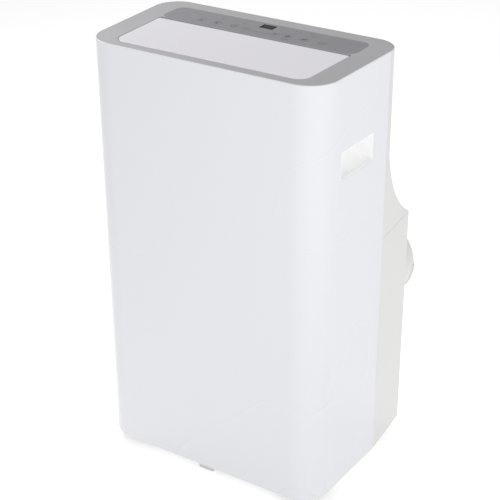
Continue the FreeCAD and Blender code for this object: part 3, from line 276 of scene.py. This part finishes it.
def motor_steel(name):
    return zinc_plate(name)


def screw_steel(name):
    return zinc_plate(name, (0.66, 0.66, 0.67), 0.28)


def fin_aluminium(name):
    """Bare foil, drawn along the fins."""
    finish = Finish(name, (0.72, 0.74, 0.76), 0.36, metallic=1.0)
    drawn = finish.noise(0.002, 3.0, finish.stretched(1.0, 1.0, 0.06))
    finish.gloss(drawn, 0.28, 0.45)
    finish.shade(drawn, 0.14)
    finish.relief(drawn, 0.00004)
    return finish


def tube_copper(name):
    """Drawn copper, browned where it was brazed and handled."""
    finish = Finish(name, (0.78, 0.40, 0.25), 0.3, metallic=1.0)
    finish.gloss(finish.noise(0.01, 3.0), 0.22, 0.42)
    finish.tint(finish.noise(0.035, 4.0), (0.36, 0.17, 0.10), 0.48, 0.75)
    finish.relief(finish.noise(0.0015, 2.0), 0.00003)
    return finish


def compressor_black(name):
    """Stoved enamel with a little dust on it."""
    finish = Finish(name, (0.018, 0.018, 0.02), 0.28, coat=0.3)
    finish.gloss(finish.noise(0.02, 3.0), 0.2, 0.42)
    finish.tint(finish.noise(0.06, 5.0), (0.06, 0.058, 0.055), 0.5, 0.8)
    finish.relief(finish.noise(0.004), 0.00008)
    return finish


def rubber_black(name):
    finish = Finish(name, (0.022, 0.022, 0.023), 0.72, specular=0.35)
    finish.gloss(finish.noise(0.008, 3.0), 0.6, 0.85)
    finish.tint(finish.noise(0.01, 4.0), (0.055, 0.054, 0.052), 0.5, 0.8)
    finish.relief(finish.noise(0.0009, 3.0), 0.00008)
    return finish


def pan_white(name):
    return satin_moulding(name, (0.66, 0.66, 0.655), 0.5)


def box_grey(name):
    return satin_moulding(name, (0.20, 0.205, 0.21), 0.5)


def board_green(name):
    """Solder mask over a pattern of tracks."""
    finish = Finish(name, (0.010, 0.085, 0.035), 0.3)
    tracks = finish.cells(0.004, "DISTANCE_TO_EDGE", finish.stretched(1.0, 0.4, 1.0))
    finish.tint(tracks, (0.004, 0.040, 0.016), 0.05, 0.12)
    finish.relief(tracks, 0.00005)
    finish.gloss(finish.noise(0.006), 0.22, 0.4)
    return finish


def filter_grey(name):
    return satin_moulding(name, (0.70, 0.70, 0.695), 0.46)


def mesh_grey(name):
    """Nylon thread, a little darker where dust has settled."""
    finish = Finish(name, (0.085, 0.088, 0.092), 0.5)
    finish.gloss(finish.noise(0.003), 0.4, 0.62)
    finish.tint(finish.noise(0.02, 4.0), (0.14, 0.135, 0.13), 0.45, 0.8)
    finish.relief(finish.noise(0.0004), 0.00003)
    return finish


def fork_grey(name):
    return satin_moulding(name, (0.028, 0.028, 0.03), 0.46)


def wheel_grey(name):
    """Nylon wheel with the marks of rolling on its tread."""
    finish = satin_moulding(name, (0.016, 0.016, 0.017), 0.44)
    finish.tint(finish.noise(0.006, 4.0), (0.05, 0.049, 0.047), 0.5, 0.75)
    return finish


FINISHES = {finish.__name__: finish for finish in (
    shell_white, cover_white, collar_white, flap_white, frame_grey, panel_grey, display_black,
    duct_black, scroll_white, fan_grey, motor_steel, fin_aluminium, tube_copper, compressor_black,
    rubber_black, pan_white, box_grey, board_green, filter_grey, mesh_grey, screw_steel, fork_grey,
    wheel_grey)}
FINISHES["key_grey"] = panel_grey


def finish_cad_nodes():
    """Gives each node the finish of its slot in the record, and the grip pockets their own brighter white,
    which is painted light against the shade in the pockets.
    """
    made = {slot: build(slot).material for slot, build in FINISHES.items()}
    grip = grip_painted_light_white("grip_painted_light_white").material
    for part in frame["record"]["subparts"]:
        node = frame["nodes"][part["node"]]
        material = grip if part["node"].endswith("handle_cup") else made[part["material_slot"]]
        for place in node.material_slots:
            place.material = material
    return made


slot_materials = finish_cad_nodes()


# Printed marks, lenses and digits on the control panel. Outlines are lists of (x, y) in millimetres.

def stroke(points, width):
    """Flat ribbon along a line of points, as four-cornered outlines."""
    outlines = []
    for (x0, y0), (x1, y1) in zip(points, points[1:]):
        run = math.hypot(x1 - x0, y1 - y0)
        across_x = -(y1 - y0) / run * width / 2
        across_y = (x1 - x0) / run * width / 2
        outlines.append([(x0 + across_x, y0 + across_y), (x0 - across_x, y0 - across_y),
                         (x1 - across_x, y1 - across_y), (x1 + across_x, y1 + across_y)])
    return outlines


def bow(radius, start, end, centre=(0.0, 0.0), steps=20):
    """Points along an arc, with its ends in degrees."""
    angles = [math.radians(start + (end - start) * k / steps) for k in range(steps + 1)]
    return [(centre[0] + radius * math.cos(a), centre[1] + radius * math.sin(a)) for a in angles]


def turned(outlines, degrees):
    c, s = math.cos(math.radians(degrees)), math.sin(math.radians(degrees))
    return [[(x * c - y * s, x * s + y * c) for x, y in outline] for outline in outlines]


def moved(outlines, dx, dy):
    return [[(x + dx, y + dy) for x, y in outline] for outline in outlines]


def grown(outlines, share):
    return [[(x * share, y * share) for x, y in outline] for outline in outlines]


def inlay(name, outlines, centre, thick, material, body):
    """The outlines as one thin piece that stands on centre."""
    shape = bmesh.new()
    for outline in outlines:
        corners = [shape.verts.new((x * MM, y * MM, 0.0)) for x, y in outline]
        face = shape.faces.new(corners)
        face.normal_update()
        if face.normal.z < 0:
            face.normal_flip()
    top = bmesh.ops.extrude_face_region(shape, geom=shape.faces[:])
    raised = [v for v in top["geom"] if isinstance(v, bmesh.types.BMVert)]
    bmesh.ops.translate(shape, vec=(0.0, 0.0, thick * MM), verts=raised)
    bmesh.ops.recalc_face_normals(shape, faces=shape.faces[:])
    piece(name, shape, centre, material, body)


def piece(name, shape, centre, material, body):
    """Turns a bmesh into an object at centre that rides on the body."""
    mesh = bpy.data.meshes.new(name)
    shape.to_mesh(mesh)
    shape.free()
    mesh.materials.append(material)
    made = bpy.data.objects.new(name, mesh)
    made.location = centre
    bpy.context.scene.collection.objects.link(made)
    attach(made, body)
    return made


def swing_mark():
    vane = stroke(bow(7.0, 245, 295, (0.0, 6.2), 10), 0.55)
    arrow = stroke([(-0.9, 1.6), (0.0, 2.7), (0.9, 1.6)], 0.5) + stroke([(0.0, 0.4), (0.0, 2.6)], 0.5)
    return grown(vane + arrow + turned(arrow, 180) + moved(vane, 0.0, -4.4), 0.7)


def sleep_mark():
    """A crescent between two arcs."""
    steps = 24
    outer = bow(2.8, 60, 330, steps=steps)
    inner = bow(2.25, 72, 318, (1.35, 0.55), steps)
    return [[outer[k], outer[k + 1], inner[k + 1], inner[k]] for k in range(steps)]


def timer_mark():
    return stroke(bow(2.7, 0, 360, steps=32), 0.5) + stroke([(0.0, 1.7), (0.0, 0.0), (1.2, -0.7)], 0.5)


def minus_mark():
    return stroke([(-2.4, 0.0), (2.4, 0.0)], 0.7)


def plus_mark():
    return minus_mark() + turned(minus_mark(), 90)


def fan_mark():
    blade = [(0.35, 0.3), (0.9, 1.0), (1.0, 2.0), (0.45, 2.9), (-0.6, 2.9), (-0.7, 1.7), (-0.3, 0.5)]
    marks = [bow(0.55, 0, 330, steps=11)]
    for k in range(4):
        marks += turned([blade], 90.0 * k)
    return marks


def mode_mark():
    arm = stroke([(0.0, 0.0), (0.0, 2.9)], 0.42) + stroke([(-0.9, 2.5), (0.0, 1.6), (0.9, 2.5)], 0.38)
    marks = []
    for k in range(6):
        marks += turned(arm, 60.0 * k)
    return marks


def power_mark():
    return stroke(bow(2.5, 120, 420, steps=30), 0.6) + stroke([(0.0, 0.7), (0.0, 3.1)], 0.6)


MARKS = {"swing": swing_mark, "sleep": sleep_mark, "timer": timer_mark, "minus": minus_mark,
         "plus": plus_mark, "fan": fan_mark, "mode": mode_mark, "power": power_mark}


def ink(name, colour):
    """Screen-printed ink, a little uneven in gloss."""
    finish = Finish(name, colour, 0.5)
    finish.gloss(finish.noise(0.002), 0.42, 0.6)
    finish.shade(finish.noise(0.003, 3.0), 0.12)
    return finish.material


def top_centre(node):
    low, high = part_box(node)
    return (low[0] + high[0]) / 2, (low[1] + high[1]) / 2, high[2]


def panel_print():
    dark = ink("print_dark", (0.055, 0.055, 0.062))
    red = ink("print_red", (0.26, 0.07, 0.08))
    for key, drawing in MARKS.items():
        colour = red if key == "power" else dark
        mark = grown(drawing(), MARK_SCALE)
        inlay("mark_" + key, mark, top_centre("key_" + key), PRINT_THICK, colour, "key_" + key)
    return dark


def lens(name, centre, material):
    """A small domed lens over a lamp."""
    radius = LENS_RADIUS * MM
    shape = bmesh.new()
    bmesh.ops.create_uvsphere(shape, u_segments=24, v_segments=12, radius=radius)
    under = [v for v in shape.verts if v.co.z < -LENS_ROOT * radius]
    bmesh.ops.delete(shape, geom=under, context="VERTS")
    bmesh.ops.holes_fill(shape, edges=[e for e in shape.edges if e.is_boundary])
    bmesh.ops.scale(shape, vec=(1.0, 1.0, LENS_HEIGHT), verts=shape.verts[:])
    for face in shape.faces:
        face.smooth = len(face.verts) < 5
    piece(name, shape, centre, material, "chassis")


def on_panel(key, dx, dy):
    """The place on the panel that is dx and dy millimetres from the middle of a key."""
    x, y, _ = top_centre("key_" + key)
    return x + dx * MM, y + dy * MM, top_centre("control_panel")[2]


def panel_lamps(dark):
    """Lamp lenses with their labels, the bow that joins the - and + keys, and the fan speed scale."""
    smoke = Finish("lens_smoke", (0.05, 0.05, 0.055), 0.15, coat=0.4)
    smoke.shade(smoke.noise(0.001), 0.3)
    label = []
    for start, end in LABEL_BARS:
        label += stroke([(start, 0.0), (end, 0.0)], LABEL_HEIGHT)
    for i, (key, dx, dy) in enumerate(LAMPS):
        lens(f"lamp_lens_{i + 1}", on_panel(key, dx, dy), smoke.material)
        place = on_panel(key, dx + LABEL_STEP, dy)
        inlay(f"lamp_symbol_{i + 1}", label, place, PRINT_THICK, dark, "chassis")

    apart = (top_centre("key_plus")[0] - top_centre("key_minus")[0]) / 2 / MM
    half = apart - 8.5
    link = stroke([(-half, 2.0), (-half + 3.0, 0.0), (half - 3.0, 0.0), (half, 2.0)], 0.6)
    inlay("temperature_link", link, on_panel("minus", apart, -6.5), PRINT_THICK, dark, "chassis")

    scale = []
    for k in range(SPEED_BARS):
        x = (k - (SPEED_BARS - 1) / 2) * SPEED_PITCH
        rise = 0.6 + 0.35 * k
        scale += stroke([(x, -rise), (x, rise)], SPEED_PITCH / 2)
    inlay("fan_speed_scale", scale, on_panel("fan", 3.0, -14.0), PRINT_THICK, dark, "chassis")


def display_digits():
    """Two unlit seven-segment digits behind the smoked window."""
    unlit = Finish("segment_unlit", (0.045, 0.042, 0.045), 0.25)
    unlit.shade(unlit.noise(0.002), 0.3)
    near = SEGMENT_GAP / 2
    upright = stroke([(0.0, near), (0.0, DIGIT_TALL - near)], SEGMENT_WIDTH)
    level = stroke([(near, 0.0), (DIGIT_WIDE - near, 0.0)], SEGMENT_WIDTH)
    digit = []
    for x in (0.0, DIGIT_WIDE):
        for y in (0.0, -DIGIT_TALL):
            digit += moved(upright, x - DIGIT_WIDE / 2, y)
    for y in (DIGIT_TALL, 0.0, -DIGIT_TALL):
        digit += moved(level, -DIGIT_WIDE / 2, y)
    lean = [[(x + DIGIT_LEAN * y, y) for x, y in outline] for outline in digit]
    degree = stroke(bow(0.7, 0, 360, (9.4, 4.2), 12), 0.4)
    digits = moved(lean, -5.0, 0.0) + moved(lean, 4.0, 0.0) + degree
    centre = top_centre("display_window")
    inlay("display_digits", digits, centre, SEGMENT_THICK, unlit.material, "chassis")


# Filter weave and coil fins

def thread(shape, line, across):
    """A round thread along a line of points; across is the (x, z) direction across it in the sheet."""
    last = None
    for k, (x, y, z) in enumerate(line):
        ring = []
        for side in range(THREAD_SIDES):
            angle = 2 * math.pi * (side + 0.5) / THREAD_SIDES
            reach = THREAD_RADIUS * math.cos(angle)
            corner = (x + reach * across[0], y + THREAD_RADIUS * math.sin(angle), z + reach * across[1])
            ring.append(shape.verts.new(corner))
        if last:
            for side in range(THREAD_SIDES):
                quad = (last[side - 1], last[side], ring[side], ring[side - 1])
                shape.faces.new(quad).smooth = True
        if k in (0, len(line) - 1):
            shape.faces.new(ring)
        last = ring


def woven_net(node):
    """Plain weave of threads that go over and under each other, in place of the CAD sheet."""
    low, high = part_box(node)
    wide = high[0] - low[0]
    tall = high[2] - low[2]
    columns = round(wide / NET_PITCH)
    rows = round(tall / NET_PITCH)
    xs = [low[0] + i * wide / columns for i in range(columns + 1)]
    zs = [low[2] + j * tall / rows for j in range(rows + 1)]
    middle = (low[1] + high[1]) / 2
    wave = NET_WAVE * THREAD_RADIUS
    shape = bmesh.new()
    for i, x in enumerate(xs):
        inside = min(max(x, low[0] + THREAD_RADIUS), high[0] - THREAD_RADIUS)
        line = [(inside, middle + wave * (-1) ** (i + j), z) for j, z in enumerate(zs)]
        thread(shape, line, (1.0, 0.0))
    for j, z in enumerate(zs):
        inside = min(max(z, low[2] + THREAD_RADIUS), high[2] - THREAD_RADIUS)
        line = [(x, middle - wave * (-1) ** (i + j), inside) for i, x in enumerate(xs)]
        thread(shape, line, (0.0, 1.0))
    bmesh.ops.recalc_face_normals(shape, faces=shape.faces[:])
    made = piece("filter_net", shape, (0.0, 0.0, 0.0), slot_materials["mesh_grey"], "upper_filter")
    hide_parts(node)


def fin(shape, x, thick, ripple, low, high):
    """One fin across the coil at x. Its ripples run up and down."""
    columns = []
    for k in range(RIPPLES + 1):
        y = low[1] + (high[1] - low[1]) * k / RIPPLES
        bend = ripple * (-1) ** k
        column = []
        for side in (-1, 1):
            for z in (low[2], high[2]):
                column.append(shape.verts.new((x + bend + side * thick / 2, y, z)))
        columns.append(column)
    for a, b in zip(columns, columns[1:]):
        for p, q in ((0, 1), (1, 3), (3, 2), (2, 0)):
            shape.faces.new((a[p], a[q], b[q], b[p]))
    for end in (columns[0], columns[-1]):
        shape.faces.new((end[0], end[1], end[3], end[2]))


def fin_pack(node, name):
    """Thin rippled foil fins between two flat end plates."""
    low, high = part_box(node)
    count = round((high[0] - low[0]) / FIN_PITCH)
    shape = bmesh.new()
    for i in range(count + 1):
        is_end = i in (0, count)
        thick = END_PLATE_THICK if is_end else FOIL_THICK
        inset = thick / 2 + FIN_INSET
        x = low[0] + (high[0] - low[0]) * i / count
        x = min(max(x, low[0] + inset), high[0] - inset)
        fin(shape, x, thick, 0.0 if is_end else RIPPLE, low, high)
    bmesh.ops.recalc_face_normals(shape, faces=shape.faces[:])
    made = piece(name, shape, (0.0, 0.0, 0.0), slot_materials["fin_aluminium"], "chassis")
    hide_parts(node)


panel_lamps(panel_print())
display_digits()
woven_net("upper_filter_mesh")
fin_pack("condenser_fins", "condenser_fin_pack")
fin_pack("evaporator_fins", "evaporator_fin_pack")


# Light, floor and camera

def aim(thing, target):
    thing.rotation_euler = (Vector(target) - thing.location).to_track_quat("-Z", "Y").to_euler()


def soft_light(name, place, target, size, power):
    lamp = bpy.data.lights.new(name, "AREA")
    lamp.shape = "RECTANGLE"
    lamp.size, lamp.size_y = size
    lamp.energy = power
    made = bpy.data.objects.new(name, lamp)
    made.location = place
    aim(made, target)
    bpy.context.scene.collection.objects.link(made)


def studio():
    world = bpy.data.worlds.new("studio")
    world.use_nodes = True
    background = world.node_tree.nodes["Background"]
    background.inputs["Color"].default_value = (1.0, 1.0, 1.0, 1.0)
    background.inputs["Strength"].default_value = WORLD_LIGHT
    bpy.context.scene.world = world
    soft_light("corner_box", place=(1.45, -1.2, 1.45), target=(0.1, -0.1, 0.5), size=(0.6, 0.8),
               power=CORNER_POWER)
    soft_light("top_box", place=(-1.2, 0.5, 1.9), target=(-0.1, -0.05, 0.75), size=(0.8, 0.8),
               power=TOP_POWER)

    finish = Finish("floor", (0.92, 0.92, 0.92), 0.9, specular=0.0)
    finish.shade(finish.noise(0.4, 3.0), 0.01)
    finish.set("Emission Color", (1.0, 1.0, 1.0, 1.0))
    finish.set("Emission Strength", FLOOR_GLOW)
    mesh = bpy.data.meshes.new("floor")
    reach = FLOOR_REACH
    corners = [(-reach, -reach, 0), (reach, -reach, 0), (reach, reach, 0), (-reach, reach, 0)]
    mesh.from_pydata(corners, [], [(0, 1, 2, 3)])
    mesh.materials.append(finish.material)
    floor = bpy.data.objects.new("floor", mesh)
    bpy.context.scene.collection.objects.link(floor)


def camera():
    data = bpy.data.cameras.new("camera")
    data.sensor_width = SENSOR
    data.lens = FOCAL_LENGTH
    data.shift_x, data.shift_y = CAMERA_SHIFT
    made = bpy.data.objects.new("camera", data)
    yaw = Matrix.Rotation(math.radians(CAMERA_YAW), 3, "Z")
    pitch = Matrix.Rotation(math.radians(90.0 - CAMERA_PITCH), 3, "X")
    roll = Matrix.Rotation(math.radians(CAMERA_ROLL), 3, "Z")
    made.rotation_euler = (yaw @ pitch @ roll).to_euler()
    made.location = CAMERA_AT
    bpy.context.scene.collection.objects.link(made)
    bpy.context.scene.camera = made


studio()
camera()
bpy.context.scene.view_settings.view_transform = "Standard"
